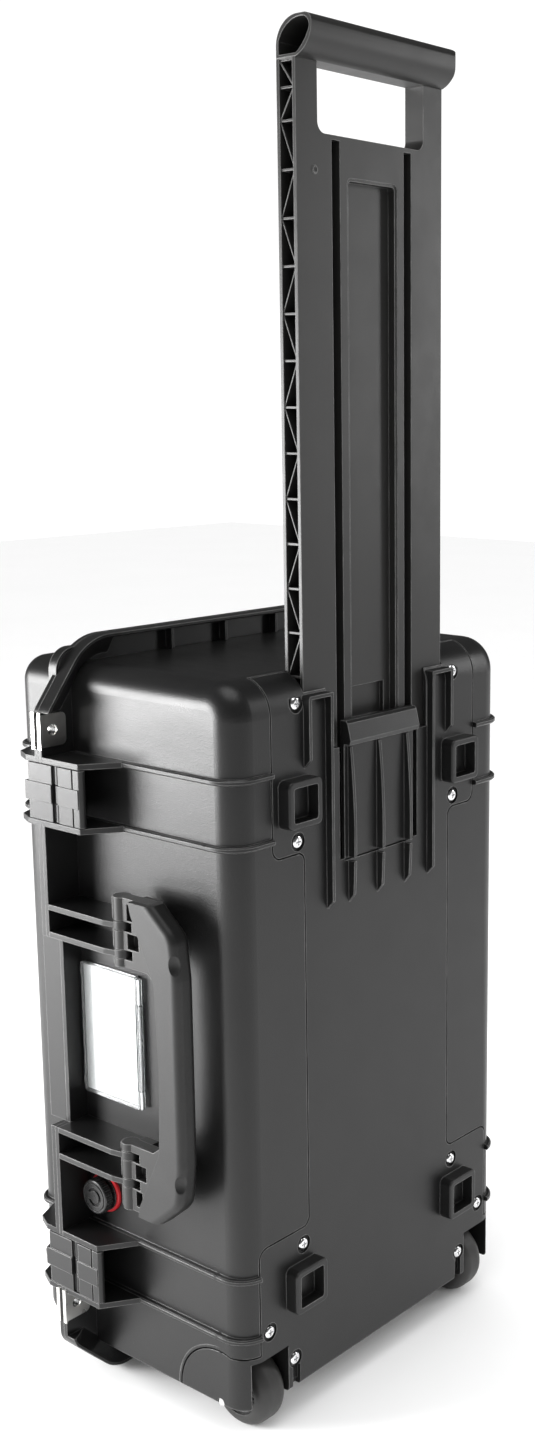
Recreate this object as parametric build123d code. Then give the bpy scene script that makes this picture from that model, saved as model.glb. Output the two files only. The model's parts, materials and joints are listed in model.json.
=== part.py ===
from build123d import *
import math
import os

# Wheeled hard equipment case, standing on its wheel end with the trolley handle drawn out.
# +Z runs along the case from the wheel end up, +X points out of the trolley side, -Y is the
# latch and carry-handle side, +Y the lid-hinge side. The floor is Z = 0. Millimetres.

# ---- driving dimensions -------------------------------------------------------------------
CASE_DEPTH = 229.0          # lid crest to foot crest
CASE_LENGTH = 559.0         # floor to the top of the flange
CASE_WIDTH = 351.0          # steel latch-side edge to the hinge knuckles
WALL = 4.0
FOOT_HEIGHT = 10.5
COVER_X = CASE_DEPTH / 2 - FOOT_HEIGHT      # outer plane of the trolley cover
PARTING_X = COVER_X - 160.0                 # plane where base and lid meet
LID_X = -CASE_DEPTH / 2 + 3.5               # outer plane of the lid, below its crest ribs
SIDE_Y = 146.0              # outer face of both long side walls
BASE_BOTTOM_Z = 24.5
BASE_TOP_Z = 541.0
SIDE_EDGE_R = 18.0
TOP_EDGE_R = 25.0
BOTTOM_EDGE_R = 3.0

# flange and the plates that stand on the latch side
PLATE_T = 1.2               # steel padlock plates
FLANGE_Y = CASE_WIDTH / 2 - PLATE_T
HINGE_FLANGE_Y = 160.5
BASE_FLANGE_T = 3.4
LID_FLANGE_T = 4.0
LID_SKIRT = 18.0
FLANGE_TOP_CUT = (38.0, 49.0)       # bevel of the latch-side top corner, along Y and Z
FLANGE_LOW_CUT = (38.0, 38.0)       # bevel of the latch-side bottom corner
FLANGE_HINGE_CUT = 22.0
LIP_T = 1.8                         # rim of the lip round both ends of the base flange
LIP_SLOPE = 14.0                    # where the lip's inner slope meets the flange
LIP_DEPTH = 11.0
PADLOCK_Z = (66.0, 497.0)
PADLOCK_Y = -165.0
PADLOCK_R = 4.0
LATCH_BAY_Y = 160.0
HANDLE_BAY_Y = 163.0
RIB_T = 4.0
RIB_PROUD = 4.0
RIB_Z = (477.0, 432.0, 124.5, 79.5)
GUARD_FRONT_X = PARTING_X + 40.5
GUARD_FOOT_X = PARTING_X + 57.5

# latches, one between each pair of guards
LATCH_Z = ((432.0 + 477.0) / 2, (79.5 + 124.5) / 2)
LATCH_WIDTH = 39.6
LATCH_FACE_Y = -174.6
LATCH_PIN_X = PARTING_X - 8.0
LATCH_PIN_Y = -169.0
LEVER_PIN_X = PARTING_X + 16.5
LEVER_PIN_Y = -170.2

# carry handle
HANDLE_MID_Z = 278.5
HANDLE_PIN_X = PARTING_X + 72.0
HANDLE_PIN_Y = -166.5
HANDLE_LUG_Z = (93.5, 73.5)     # centres of the base lugs, measured from the handle's middle
HANDLE_LUG_T = 6.0
HANDLE_HALF = 113.5

# name plate
PLATE_Z = (229.0, 327.0)
PLATE_X = (PARTING_X + 7.0, PARTING_X + 65.0)
PLATE_HINGE_X = PARTING_X + 66.5
PLATE_HINGE_Y = -149.4

# pressure valve
VALVE_X = PARTING_X + 21.0
VALVE_Z = 152.0

# lid hinge
HINGE_Y = 169.0
HINGE_KNUCKLE_R = 6.5
HINGE_PIN_R = 2.2
HINGE_CENTRES_Z = (430.0, 129.0)

# trolley handle and its channel
COVER_T = 3.0
CHANNEL_HALF = 76.0
CHANNEL_BACK_X = COVER_X - 20.5
CHANNEL_BOTTOM_Z = 29.0
TROLLEY_HALF = 75.0
TROLLEY_FRONT_X = COVER_X - 3.7
TROLLEY_BACK_X = COVER_X - 19.7
TROLLEY_BOTTOM_Z = 432.0
GRIP_BOTTOM_Z = 931.0
WINDOW_Z = 888.0
WINDOW_HALF = 54.5
TRUSS_PITCH = 29.7
GROOVE = (33.0, 41.0)
GATE_Z = 865.0
GRIP_END_R = 4.0
RECESS_HALF = 24.0
RECESS_TOP_Z = 861.0
RAIL_WALL = 2.5

# trolley cover outline: half widths and the heights where they change
COVER_TOP_HALF = 110.5
COVER_NARROW_HALF = 79.5
COVER_BOTTOM_HALF = 130.5
COVER_SHOULDER_Z = 419.0
COVER_HIP_Z = 144.0
COVER_WRAP_X = COVER_X - 19.0
FOOT_Y = 88.5
FOOT_Z = (455.4, 103.2)
FOOT_SIZE = 33.0
SCREWS_YZ = ((86.0, 521.8), (86.0, 426.7), (86.0, 131.4), (121.8, 79.5), (96.3, 47.0))
SCREW_SINK = 2.0            # depth of the counterbores
SEAM = 1.1                  # width of the groove between cover and base
NOTCH_HALF = 54.0           # notch in the cover's top edge, in front of the trolley handle
NOTCH_Z = 485.0
RIDGE_CREST = 5.6
RIDGE_T = 2.4
TONGUE_HALF = 38.0
TONGUE_HINGE_Z = 403.0
TONGUE_TOP_Z = 503.0

# wheels
WHEEL_R = 27.0
WHEEL_X = COVER_X - 26.0
WHEEL_Y = 117.5
WHEEL_WIDTH = 25.0
WELL_Y = (103.5, 138.0)
WELL_R = 35.0
HOUSING_R = 39.0
HOUSING_Y = 100.5
HOUSING_TOP_Z = 64.5
WALL_SPLIT_X = 79.0
AXLE_R = 3.0

FIT = 0.05                  # radial clearance of a running fit
GAP = 0.4                   # clearance between pieces that move past each other
DEEP = 400.0                # long enough to cut right through


# ---- helpers ------------------------------------------------------------------------------
def block(x, y, z):
    """Box from three (low, high) pairs."""
    size = [abs(span[1] - span[0]) for span in (x, y, z)]
    middle = [(span[0] + span[1]) / 2 for span in (x, y, z)]
    return Pos(*middle) * Box(*size)


def rod_z(x, y, z, radius):
    return Pos(x, y, (z[0] + z[1]) / 2) * Cylinder(radius, z[1] - z[0])


def rod_y(x, y, z, radius):
    return Pos(x, (y[0] + y[1]) / 2, z) * Rot(90, 0, 0) * Cylinder(radius, y[1] - y[0])


def rod_x(x, y, z, radius):
    return Pos((x[0] + x[1]) / 2, y, z) * Rot(0, 90, 0) * Cylinder(radius, x[1] - x[0])


def outline(points, radius):
    face = Polygon(*points, align=None)
    return fillet(face.vertices(), radius) if radius else face


def slab(plane, face, thickness):
    """Face drawn on a plane and extruded along the plane's own normal."""
    return extrude(plane * face, thickness, dir=plane.z_dir)


def slab_z(points, z, radius=0.0):
    """Outline in X and Y, extruded from z[0] to z[1]."""
    return slab(Plane.XY.offset(z[0]), outline(points, radius), z[1] - z[0])


def slab_x(points, x, radius=0.0):
    """Outline in Y and Z, extruded from x[0] to x[1]."""
    return slab(Plane.YZ.offset(x[0]), outline(points, radius), x[1] - x[0])


def slab_y(points, y, radius=0.0):
    """Outline in X and Z, extruded from y[1] down to y[0]."""
    plane = Plane(origin=(0, y[1], 0), x_dir=(1, 0, 0), z_dir=(0, -1, 0))
    return slab(plane, outline(points, radius), y[1] - y[0])


def both_sides(make):
    """The piece make(side) at -Y and at +Y."""
    return [make(-1), make(1)]


def span(side, low, high):
    """A Y range from low to high on one side of the middle."""
    return (low, high) if side > 0 else (-high, -low)


def around(centre, width):
    return (centre - width / 2, centre + width / 2)


def save(name, *shapes):
    solids = [solid for shape in shapes for solid in shape.solids()]
    result = solids[0] if len(solids) == 1 else Compound(children=solids)
    export_step(result, "parts/%s.step" % name)


# ---- shared outside forms -----------------------------------------------------------------
def base_form(inset, floor_inset):
    """Outside form of the base, drawn in from its walls and from its floor."""
    body = block((PARTING_X, COVER_X - floor_inset), (-SIDE_Y + inset, SIDE_Y - inset),
                 (BASE_BOTTOM_Z + inset, BASE_TOP_Z - inset))
    across = body.edges().filter_by(Axis.Y).sort_by(lambda e: e.center().X + e.center().Z)
    body = fillet(across[-1], TOP_EDGE_R - inset)
    rims = [edge for face in body.faces().filter_by(Axis.Y) for edge in face.edges()
            if edge.center().X > PARTING_X + 1 and edge.center().Z > BASE_BOTTOM_Z + inset + 1]
    body = fillet(rims, SIDE_EDGE_R - inset)
    bottom = body.faces().sort_by(Axis.Z)[0]
    return fillet([e for e in bottom.edges() if e.center().X > PARTING_X + 1], BOTTOM_EDGE_R)


def lid_form(inset):
    """Outside form of the lid, drawn in by inset."""
    body = block((LID_X + inset, PARTING_X), (-SIDE_Y + inset, SIDE_Y - inset),
                 (BASE_BOTTOM_Z + inset, BASE_TOP_Z - inset))
    body = fillet(body.edges().filter_by(Axis.X), SIDE_EDGE_R - inset / 2)
    face = body.faces().sort_by(Axis.X)[0]
    return fillet(face.edges(), 12.0 - inset)


def flange_outline(inset):
    """Flange outline with bevelled, rounded corners, drawn in by inset."""
    top_y, top_z = FLANGE_TOP_CUT
    low_y, low_z = FLANGE_LOW_CUT
    far = FLANGE_HINGE_CUT
    corners = [((-FLANGE_Y, low_z), 15.0), ((-FLANGE_Y + low_y, 0), 30.0),
               ((HINGE_FLANGE_Y - far, 0), 14.0), ((HINGE_FLANGE_Y, far), 14.0),
               ((HINGE_FLANGE_Y, CASE_LENGTH - far), 14.0), ((HINGE_FLANGE_Y - far, CASE_LENGTH), 14.0),
               ((-FLANGE_Y + top_y, CASE_LENGTH), 42.0), ((-FLANGE_Y, CASE_LENGTH - top_z), 15.0)]
    face = Polygon(*[point for point, radius in corners], align=None)
    for (y, z), radius in corners:
        nearest = face.vertices().sort_by_distance((y, z, 0))[0]
        face = fillet(nearest, radius)
    return offset(face, -inset) if inset else face


def flange_form(x):
    """Flange plate between two X planes, with its latch and handle bays."""
    plate = slab(Plane.YZ.offset(x[0]), flange_outline(0.0), x[1] - x[0])
    for low, high in ((RIB_Z[1], RIB_Z[0]), (RIB_Z[3], RIB_Z[2])):
        bay = (low + RIB_T / 2, high - RIB_T / 2)
        plate -= block((x[0] - 1, x[1] + 1), (-FLANGE_Y - 1, -LATCH_BAY_Y), bay)
    return plate - block((x[0] - 1, x[1] + 1), (-FLANGE_Y - 1, -HANDLE_BAY_Y), handle_bay_z())


def handle_bay_z():
    """Height range between the two inner carry-handle plates."""
    return (HANDLE_MID_Z - 71.5, HANDLE_MID_Z + 71.5)


def padlock_holes(x):
    """Padlock holes through the flanges, at both ends of the latch side."""
    return [rod_x(x, PADLOCK_Y, z, PADLOCK_R) for z in PADLOCK_Z]


def housing_form(side, outer_r, inner_y, top_z):
    """Rounded corner block around one wheel, from inner_y out past the side wall."""
    y = span(side, inner_y, SIDE_Y + 1)
    drum = rod_y(WHEEL_X, y, WHEEL_R, outer_r)
    nose = block((WHEEL_X, COVER_X + 1), y, (BASE_BOTTOM_Z - 1, top_z))
    skirt = block((WHEEL_X - outer_r, COVER_X + 1), y, (BASE_BOTTOM_Z - 1, WHEEL_R))
    return drum + nose + skirt


def cover_outline():
    """Outline of the trolley cover on the base floor, without the wheel corners."""
    right = [(COVER_BOTTOM_HALF, BASE_BOTTOM_Z - 5), (COVER_BOTTOM_HALF, COVER_HIP_Z),
             (COVER_NARROW_HALF, COVER_HIP_Z), (COVER_NARROW_HALF, COVER_SHOULDER_Z),
             (COVER_TOP_HALF, COVER_SHOULDER_Z), (COVER_TOP_HALF, BASE_TOP_Z + 5)]
    left = [(-y, z) for y, z in reversed(right)]
    return right + left


def cover_prism(grow):
    """Everything under the cover's outline, grown by the seam gap."""
    face = Polygon(*cover_outline(), align=None)
    inner = [v for v in face.vertices() if BASE_BOTTOM_Z < v.Y < BASE_TOP_Z]
    face = fillet(inner, 7.0)
    if grow:
        face = offset(face, grow)
    return slab(Plane.YZ.offset(COVER_WRAP_X - grow), face, 60.0)


# ---- base shell ---------------------------------------------------------------------------
def rib_ring(z, x_end, seam_half):
    """Low rib that runs round the base walls and stops at the cover's seam."""
    band = (z - RIB_T / 2, z + RIB_T / 2)
    wide = SIDE_Y + RIB_PROUD
    ring = block((PARTING_X, x_end), (-wide, wide), band)
    corners = [e for e in ring.edges().filter_by(Axis.Z) if e.center().X > PARTING_X + 1]
    ring = fillet(corners, SIDE_EDGE_R + RIB_PROUD)
    ring = chamfer([e for e in ring.edges() if e.geom_type != GeomType.LINE], 1.0)
    return ring - block((COVER_X - 30, COVER_X + 20), (-seam_half, seam_half), band)


def guard_plate(z):
    """Latch guard on the base: a deep plate that steps down to the low rib."""
    points = [(PARTING_X, -SIDE_Y + 1), (PARTING_X, -FLANGE_Y), (GUARD_FRONT_X, -FLANGE_Y),
              (GUARD_FOOT_X, -SIDE_Y - RIB_PROUD), (GUARD_FOOT_X, -SIDE_Y + 1)]
    return slab_z(points, (z - RIB_T / 2, z + RIB_T / 2))


def handle_lug(z):
    """Plate and rounded lug that carry one end of the carry handle's pin."""
    plate = slab_z([(PARTING_X, -SIDE_Y + 1), (PARTING_X, -FLANGE_Y),
                    (HANDLE_PIN_X - 12, -FLANGE_Y), (HANDLE_PIN_X - 2, HANDLE_PIN_Y - 6),
                    (HANDLE_PIN_X + 6, HANDLE_PIN_Y), (HANDLE_PIN_X + 6, -SIDE_Y + 1)],
                   (z - RIB_T / 2, z + RIB_T / 2))
    lug = (z - HANDLE_LUG_T / 2, z + HANDLE_LUG_T / 2)
    eye = rod_z(HANDLE_PIN_X, HANDLE_PIN_Y, lug, 6.5)
    neck = block((HANDLE_PIN_X - 6.5, HANDLE_PIN_X + 6.5), (HANDLE_PIN_Y, -SIDE_Y + 1), lug)
    return plate + eye + neck


def flange_lip():
    """Lip round both ends of the base flange: a thin rim that slopes in, with pockets along the top."""
    low = PARTING_X + BASE_FLANGE_T
    high = PARTING_X + LIP_DEPTH
    outer = slab(Plane.YZ.offset(PARTING_X), flange_outline(0.0), LIP_DEPTH)
    hollow = loft([Plane.YZ.offset(low) * flange_outline(LIP_SLOPE),
                   Plane.YZ.offset(high + 0.01) * flange_outline(LIP_T)])
    pockets = slab(Plane.YZ.offset(low), flange_outline(LIP_T + 1.0), LIP_DEPTH)
    pockets = pockets & block((low, high + 1), (-112, 118), (BASE_TOP_Z - 10, CASE_LENGTH))
    middle = block((PARTING_X - 1, high + 1), (-DEEP, DEEP),
                   (FLANGE_LOW_CUT[1] + 4.0, CASE_LENGTH - FLANGE_TOP_CUT[1]))
    lip = outer - hollow - pockets - middle
    gussets = [block((PARTING_X, high - 1), around(y, 2.0), (BASE_TOP_Z - 1, CASE_LENGTH - 1))
               for y in (-55, 0, 55, 110)]
    return [lip] + gussets


def hinge_slots(owner):
    """Height ranges of the knuckles that belong to base (0) or lid (1)."""
    pitch = 14.0
    ranges = []
    for centre in HINGE_CENTRES_Z:
        for index in range(5):
            middle = centre + (index - 2) * pitch
            if index % 2 == owner:
                ranges.append(around(middle, pitch - GAP))
    return ranges


def hinge_knuckles(owner, radius_fit):
    """Knuckles with their leaves, bored for the hinge pin."""
    leaf_x = (PARTING_X, PARTING_X + BASE_FLANGE_T) if owner == 0 else \
             (PARTING_X - LID_FLANGE_T, PARTING_X)
    parts = []
    for z in hinge_slots(owner):
        knuckle = rod_z(PARTING_X, HINGE_Y, z, HINGE_KNUCKLE_R)
        knuckle += block(leaf_x, (HINGE_FLANGE_Y - 2, HINGE_Y), z)
        parts.append(knuckle - rod_z(PARTING_X, HINGE_Y, (z[0] - 1, z[1] + 1), HINGE_PIN_R + radius_fit))
    return parts


def screw_bosses():
    """Posts inside the base that the cover screws bite into."""
    return [rod_x((COVER_X - 19, COVER_X - 5), side * y, z, 5.5)
            for y, z in SCREWS_YZ for side in (-1, 1)]


def channel_form(half, back_x, bottom_z):
    return block((back_x, COVER_X + 1), (-half, half), (bottom_z, BASE_TOP_Z + 10))


def base_outside():
    """The base tub's outside with its four ribs."""
    tub = base_form(0.0, 0.0)
    tub += [rib_ring(z, COVER_X + 3.5, COVER_TOP_HALF + GAP) for z in RIB_Z[:2]]
    tub += [rib_ring(z, COVER_X + 3.5, COVER_BOTTOM_HALF + GAP) for z in RIB_Z[2:]]
    return tub


def make_base_tub():
    """Moulded tub: walls, front, trolley channel, wheel arches and screw posts."""
    room = base_form(WALL, COVER_T + WALL)
    room -= channel_form(CHANNEL_HALF + WALL, CHANNEL_BACK_X - WALL, CHANNEL_BOTTOM_Z - WALL)
    room -= both_sides(lambda s: housing_form(s, HOUSING_R + 3.0, HOUSING_Y - 3.0, HOUSING_TOP_Z + 3))
    room -= screw_bosses()
    shell = base_outside() - room
    shell -= channel_form(CHANNEL_HALF, CHANNEL_BACK_X, CHANNEL_BOTTOM_Z)
    shell -= cover_prism(SEAM) - base_form(COVER_T, COVER_T)
    shell -= both_sides(lambda s: housing_form(s, HOUSING_R + SEAM, HOUSING_Y - SEAM, HOUSING_TOP_Z + SEAM))
    shell -= both_sides(drain_slot)
    for y, z in SCREWS_YZ:
        for side in (-1, 1):
            shell -= rod_x((COVER_X - 16.5, COVER_X + 1), side * y, z, 2.0)
    return shell - rod_y(VALVE_X, (-SIDE_Y - 1, -SIDE_Y + WALL + 1), VALVE_Z, 8.0)


def split_base_tub(tub):
    """The tub as two nodes that meet face to face: its four walls, and its front with the channel."""
    walls = block((PARTING_X - 1, WALL_SPLIT_X), (-SIDE_Y - 8, SIDE_Y + 8), (BASE_BOTTOM_Z - 8, BASE_TOP_Z + 8))
    walls -= both_sides(lambda s: housing_form(s, HOUSING_R + 3.0, HOUSING_Y - 3.0, HOUSING_TOP_Z + 3))
    return tub & walls, tub - walls


def make_base_flange():
    """Base flange with its lips and hinge knuckles."""
    rim = flange_form((PARTING_X, PARTING_X + BASE_FLANGE_T))
    rim += flange_lip()
    rim -= base_outside()
    rim += hinge_knuckles(0, 0.0)
    return rim - padlock_holes((PARTING_X - 1, PARTING_X + 8))


def make_base_guards():
    """Latch guards, carry-handle lugs and latch keepers that stand on the tub's latch side."""
    taken = base_outside() + flange_form((PARTING_X, PARTING_X + BASE_FLANGE_T))
    taken += flange_lip()
    pieces = [guard_plate(z) for z in RIB_Z]
    pieces += [handle_lug(HANDLE_MID_Z + side * z) for z in HANDLE_LUG_Z for side in (-1, 1)]
    pieces += latch_keepers()
    pieces = [piece - taken for piece in pieces]
    return [piece - [handle_pin_rod(side, 2.5) for side in (-1, 1)] for piece in pieces]


def drain_slot(side):
    """Deep slot beside each wheel, in the bottom edge of the cover."""
    return block((COVER_X - 5.5, COVER_X + 1), span(side, 91.5, HOUSING_Y - SEAM - 0.1), (BASE_BOTTOM_Z - 1, 41.0))


def latch_keepers():
    """Short keeper rails on the base under each latch."""
    return [block((PARTING_X + BASE_FLANGE_T, PARTING_X + 12), (-164.4, -SIDE_Y + 1), around(z, 26.0))
            for z in LATCH_Z]


# ---- trolley cover ------------------------------------------------------------------------
def foot_ring(side, z):
    """Square stand-off foot with an open pocket."""
    y = side * FOOT_Y
    body = block((COVER_X - 1, COVER_X + FOOT_HEIGHT), around(y, FOOT_SIZE), around(z, FOOT_SIZE))
    body = fillet(body.edges().filter_by(Axis.X), 4.5)
    body = fillet(body.faces().sort_by(Axis.X)[-1].edges(), 1.5)
    pocket = block((COVER_X + 0.8, COVER_X + 20), around(y, FOOT_SIZE - 9), around(z, FOOT_SIZE - 9))
    return body - fillet(pocket.edges().filter_by(Axis.X), 2.0)


def ridge(y, z_low, z_high, crest):
    """Upright rib on the cover, bevelled off at its lower end."""
    points = [(COVER_X - 0.5, z_low), (COVER_X + crest, z_low + crest + 1.0),
              (COVER_X + crest, z_high), (COVER_X - 0.5, z_high)]
    return slab_y(points, around(y, RIDGE_T))


def frame_ridges(side):
    """The hooked pair of ribs beside the trolley handle, joined by a rounded bridge."""
    top_z = 526.0
    low_y = NOTCH_HALF + 2.0
    high_y = 78.0
    inner = ridge(side * low_y, 372.0, top_z, RIDGE_CREST)
    outer = ridge(side * high_y, 476.0, top_z - RIDGE_T + 0.2, RIDGE_CREST)
    bridge = block((COVER_X - 2.5, COVER_X + RIDGE_CREST), span(side, low_y, high_y + RIDGE_T / 2),
                   (top_z - RIDGE_T, top_z))
    corner = [e for e in bridge.edges().filter_by(Axis.X) if e.center().Z > top_z - 1 and
              abs(e.center().Y) > high_y]
    return [inner, outer, fillet(corner, RIDGE_T - 0.2)]


def tongue_window():
    """Notch in front of the trolley handle, and the two slots beside the tongue."""
    notch = block((COVER_X - 5, COVER_X + 1), (-NOTCH_HALF, NOTCH_HALF), (NOTCH_Z, BASE_TOP_Z + 10))
    slots = block((COVER_X - 5, COVER_X + 1), (-TONGUE_HALF - 5.0, TONGUE_HALF + 5.0),
                  (TONGUE_HINGE_Z + 1.6, NOTCH_Z + 1))
    root = block((COVER_X - 5, COVER_X + 9), (-TONGUE_HALF - GAP, TONGUE_HALF + GAP),
                 (TONGUE_HINGE_Z, NOTCH_Z + 1))
    return [notch, slots, root]


def wheel_well(side):
    """Space for one wheel: open to the floor and to the trolley side."""
    y = span(side, *WELL_Y)
    drum = rod_y(WHEEL_X, y, WHEEL_R, WELL_R)
    mouth = block((WHEEL_X, COVER_X + 8), y, (BASE_BOTTOM_Z - 20, HOUSING_TOP_Z - 4))
    return drum + mouth


def make_bottom_cover():
    skin = base_form(0.0, 0.0) - base_form(COVER_T, COVER_T)
    cover = cover_prism(0.0) & skin
    full = base_form(0.0, 0.0)
    for side in (-1, 1):
        cover += housing_form(side, HOUSING_R, HOUSING_Y, HOUSING_TOP_Z) & full
    for side in (-1, 1):
        cover -= wheel_well(side)
        cover -= drain_slot(side)
    cover += [foot_ring(side, z) for side in (-1, 1) for z in FOOT_Z]
    cover += [piece for side in (-1, 1) for piece in frame_ridges(side)]
    cover += [tongue_rib(y) for y in TONGUE_RIBS_Y]
    cover -= tongue_window()
    cover -= channel_form(CHANNEL_HALF, CHANNEL_BACK_X, CHANNEL_BOTTOM_Z) & \
        block((CHANNEL_BACK_X - 5, COVER_X - COVER_T), (-DEEP, DEEP), (0, BASE_TOP_Z + 10))
    for y, z in SCREWS_YZ:
        for side in (-1, 1):
            cover -= rod_x((COVER_X - SCREW_SINK, COVER_X + 5), side * y, z, 6.6)
            cover -= rod_x((COVER_X - 30, COVER_X + 5), side * y, z, 2.1)
    for side in (-1, 1):
        spacer = rod_y(WHEEL_X, span(side, WHEEL_Y + WHEEL_WIDTH / 2 + 0.6, WELL_Y[1] + 1), WHEEL_R, 7.0)
        cover += spacer & full
        cover -= rod_y(WHEEL_X, span(side, HOUSING_Y - 5, SIDE_Y + 2), WHEEL_R, AXLE_R)
    return cover


def make_cover_screws():
    """Pan-head screws with a cross recess, driven through the cover into the base."""
    screws = []
    for y, z in SCREWS_YZ:
        for side in (-1, 1):
            centre = side * y
            head = rod_x((COVER_X - SCREW_SINK, COVER_X + 0.5), centre, z, 4.7)
            head = fillet(head.faces().sort_by(Axis.X)[-1].edges(), 2.2)
            cross = [block((COVER_X - 0.9, COVER_X + 2), around(centre, wide), around(z, tall))
                     for wide, tall in ((4.6, 1.0), (1.0, 4.6))]
            screws.append((head - cross) + rod_x((COVER_X - 16.0, COVER_X - SCREW_SINK + 0.1), centre, z, 2.0))
    return screws


# ---- release tongue -----------------------------------------------------------------------
TONGUE_RIBS_Y = (-33.0, -2.0, 29.0)
TONGUE_AXIS_X = COVER_X - COVER_T / 2
TONGUE_AXIS_Z = TONGUE_HINGE_Z + GAP + COVER_T / 2


def bowed_rib(y, thickness):
    """Rib with a bowed crest, from the lip down past the tongue's root."""
    top = (COVER_X + 2.4, NOTCH_Z - 1.0)
    mid = (COVER_X + 5.8, 430.0)
    low = (COVER_X + 4.6, 378.0)
    crest = ThreePointArc(top, mid, low)
    rest = Polyline(low, (COVER_X - 0.5, 371.5), (COVER_X - 0.5, NOTCH_Z - 1.0), top)
    plane = Plane(origin=(0, y + thickness / 2, 0), x_dir=(1, 0, 0), z_dir=(0, -1, 0))
    return slab(plane, make_face(Wire([crest, *rest.edges()])), thickness)


def tongue_rib(y):
    """The part of a bowed rib that belongs to the cover, below the tongue."""
    return bowed_rib(y, RIDGE_T) & block((0, DEEP), (-DEEP, DEEP), (0, TONGUE_HINGE_Z - 0.6))


def make_release_tongue():
    """Sprung tongue with a finger lip; two prongs run in the trolley handle's grooves."""
    plate = block((COVER_X - COVER_T, COVER_X), (-TONGUE_HALF, TONGUE_HALF), (TONGUE_AXIS_Z, TONGUE_TOP_Z))
    root = rod_y(TONGUE_AXIS_X, (-TONGUE_HALF, TONGUE_HALF), TONGUE_AXIS_Z, COVER_T / 2)
    lip = slab_y([(COVER_X - 1, 486.0), (COVER_X + 5.2, 486.0), (COVER_X + 6.4, 489.0),
                  (COVER_X + 3.4, 501.0), (COVER_X + 1.5, TONGUE_TOP_Z), (COVER_X - 1, TONGUE_TOP_Z)],
                 (-TONGUE_HALF, TONGUE_HALF))
    lip = fillet([e for e in lip.edges().filter_by(Axis.X) if e.center().Z > TONGUE_TOP_Z - 0.1] or
                 lip.edges().filter_by(Axis.Y).sort_by(Axis.X)[-1:], 1.0)
    hollow = block((COVER_X + 0.6, COVER_X + 4.2), (-TONGUE_HALF + 1.6, TONGUE_HALF - 1.6), (483.0, 494.0))
    above = block((0, DEEP), (-DEEP, DEEP), (TONGUE_AXIS_Z, CASE_LENGTH))
    ribs = [bowed_rib(y, RIDGE_T) & above for y in TONGUE_RIBS_Y]
    prongs = [block((COVER_X - 9.5, COVER_X - 2.5), span(side, 34.5, 37.5), (466.0, 480.0))
              for side in (-1, 1)]
    tongue = (plate + root + lip) - hollow
    tongue += ribs
    tongue += prongs
    return tongue


# ---- trolley handle -----------------------------------------------------------------------
def truss_levels():
    """Heights of the cross ribs in the open sides of the rails."""
    upper = [GRIP_BOTTOM_Z - 1.2, 913.5]
    count = int((893.5 - TROLLEY_BOTTOM_Z - 6) // TRUSS_PITCH) + 1
    return upper + [893.5 - TRUSS_PITCH * index for index in range(count)]


def rail_truss(side):
    """Cross ribs and alternating diagonals inside one rail."""
    y = span(side, WINDOW_HALF + 1.5, TROLLEY_HALF - 1.0)
    back = TROLLEY_BACK_X + RAIL_WALL - 0.5
    front = TROLLEY_FRONT_X - RAIL_WALL + 0.5
    levels = truss_levels()
    ribs = [block((back, front), y, around(z, 1.4)) for z in levels]
    half = 0.9
    for index, (high, low) in enumerate(zip(levels, levels[1:])):
        start, end = (high, low) if index % 2 == 0 else (low, high)
        ribs.append(slab_y([(back, start - half), (back, start + half),
                            (front, end + half), (front, end - half)], y))
    return ribs


def make_trolley_handle():
    frame = block((TROLLEY_BACK_X, TROLLEY_FRONT_X), (-TROLLEY_HALF, TROLLEY_HALF),
                  (TROLLEY_BOTTOM_Z, GRIP_BOTTOM_Z))
    window = block((0, DEEP), (-WINDOW_HALF, WINDOW_HALF), (WINDOW_Z, GRIP_BOTTOM_Z + 5))
    lower = [e for e in window.edges().filter_by(Axis.X) if e.center().Z < WINDOW_Z + 1]
    frame -= fillet(lower, 7.0)
    through = (TROLLEY_BACK_X + RAIL_WALL, TROLLEY_FRONT_X - RAIL_WALL)
    foot_z = TROLLEY_BOTTOM_Z + 5
    for side in (-1, 1):
        rail = block(through, span(side, GROOVE[1] + RAIL_WALL, TROLLEY_HALF + 1), (foot_z, WINDOW_Z - 6))
        slim = block(through, span(side, WINDOW_HALF + RAIL_WALL, TROLLEY_HALF + 1),
                     (WINDOW_Z - 7, GRIP_BOTTOM_Z - 0.5))
        frame -= [rail, slim]
        groove = block((TROLLEY_FRONT_X - 10, COVER_X), span(side, *GROOVE), (foot_z - 10, 885.0))
        frame -= groove
    recess = block((TROLLEY_FRONT_X - 6.5, COVER_X), (-RECESS_HALF, RECESS_HALF), (452.0, RECESS_TOP_Z))
    frame -= fillet(recess.edges().filter_by(Axis.X), 3.0)
    step = block((TROLLEY_FRONT_X - 0.8, COVER_X), around(0, 2 * RECESS_HALF + 3.6),
                 (450.0, RECESS_TOP_Z + 1.8))
    frame -= fillet(step.edges().filter_by(Axis.X), 4.0)
    pocket = block((TROLLEY_FRONT_X - 10, COVER_X), (-RECESS_HALF + 3, RECESS_HALF - 7), (500.0, 523.0))
    frame -= pocket
    back = block((0, TROLLEY_BACK_X + 3.0), (-30, 30), (foot_z + 8, 870.0))
    frame -= back
    for side in (-1, 1):
        frame += rail_truss(side)
    gate = rod_x((TROLLEY_FRONT_X - 1, TROLLEY_FRONT_X + 0.5), -57.5, GATE_Z, 2.6)
    gate -= rod_x((TROLLEY_FRONT_X, TROLLEY_FRONT_X + 2), -57.5, GATE_Z, 1.8)
    return frame + gate


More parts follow.
